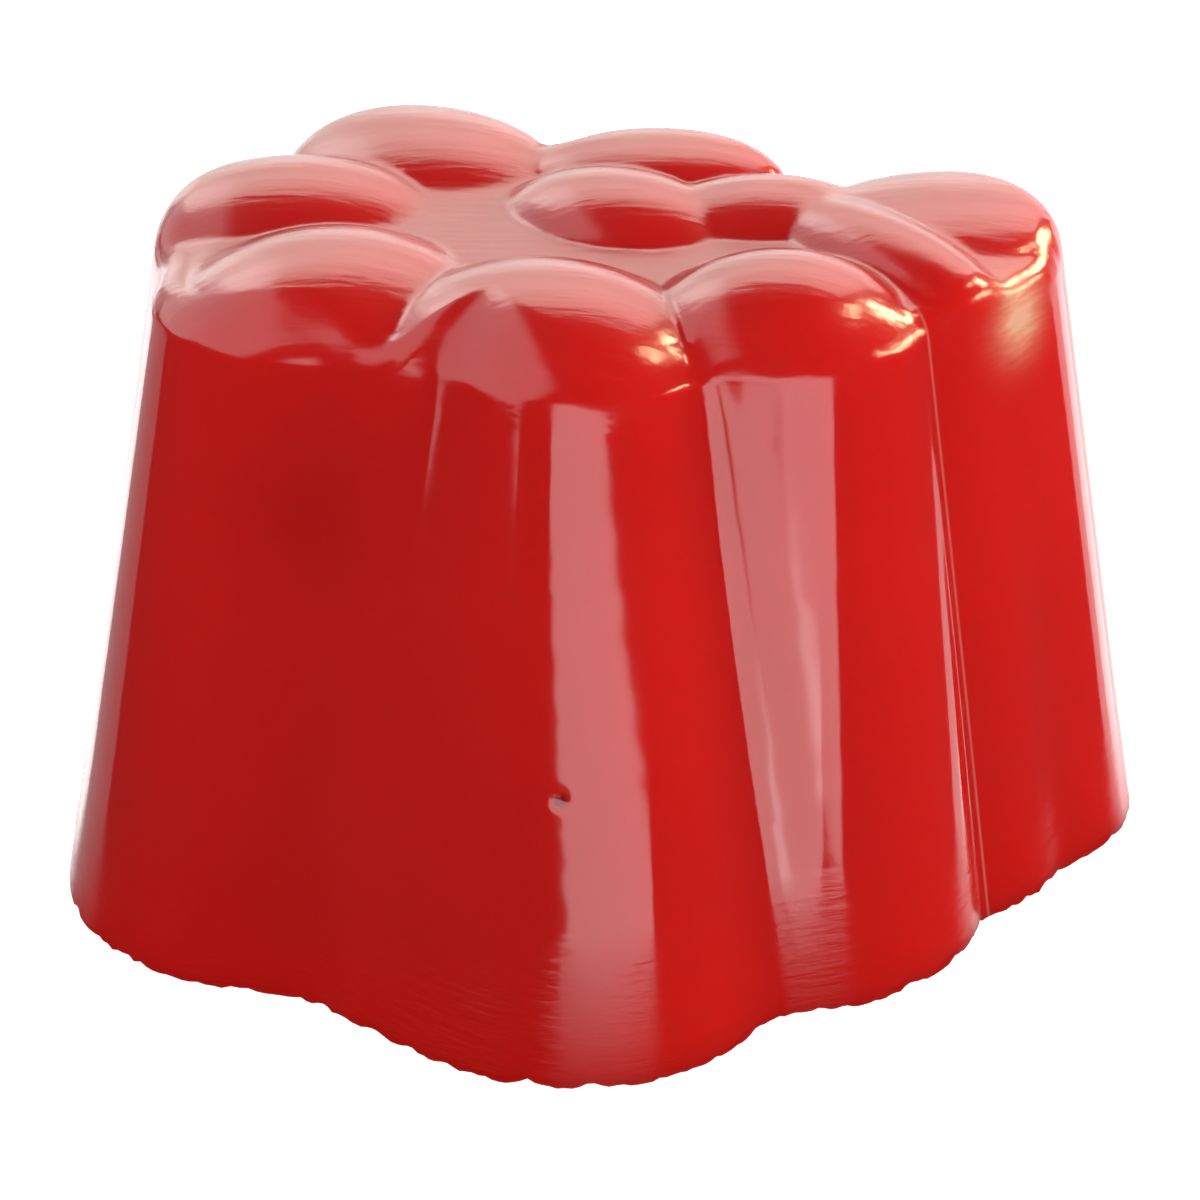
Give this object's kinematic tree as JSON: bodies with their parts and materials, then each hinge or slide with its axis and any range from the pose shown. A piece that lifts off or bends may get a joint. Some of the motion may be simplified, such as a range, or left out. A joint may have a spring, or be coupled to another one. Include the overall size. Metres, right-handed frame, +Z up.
{
  "type": "gummy candy",
  "caption": "Red gummy candy moulded as a small bunch of berries: fluted leaning sides, low domes on top and a flat base.",
  "frame": {"origin": "middle of the flat base, on the surface that the candy stands on", "axes": "+Z up out of the flat base; +X along the candy's long side; -Y towards the side with the broad front berries"},
  "size_m": [0.0208, 0.0174, 0.0134],
  "materials": {
    "red_gummy": "glossy oiled gelatine, translucent red, slightly rough towards the base"
  },
  "bodies": {
    "root": {"gummy_candy": "red_gummy"}
  },
  "joints": []
}
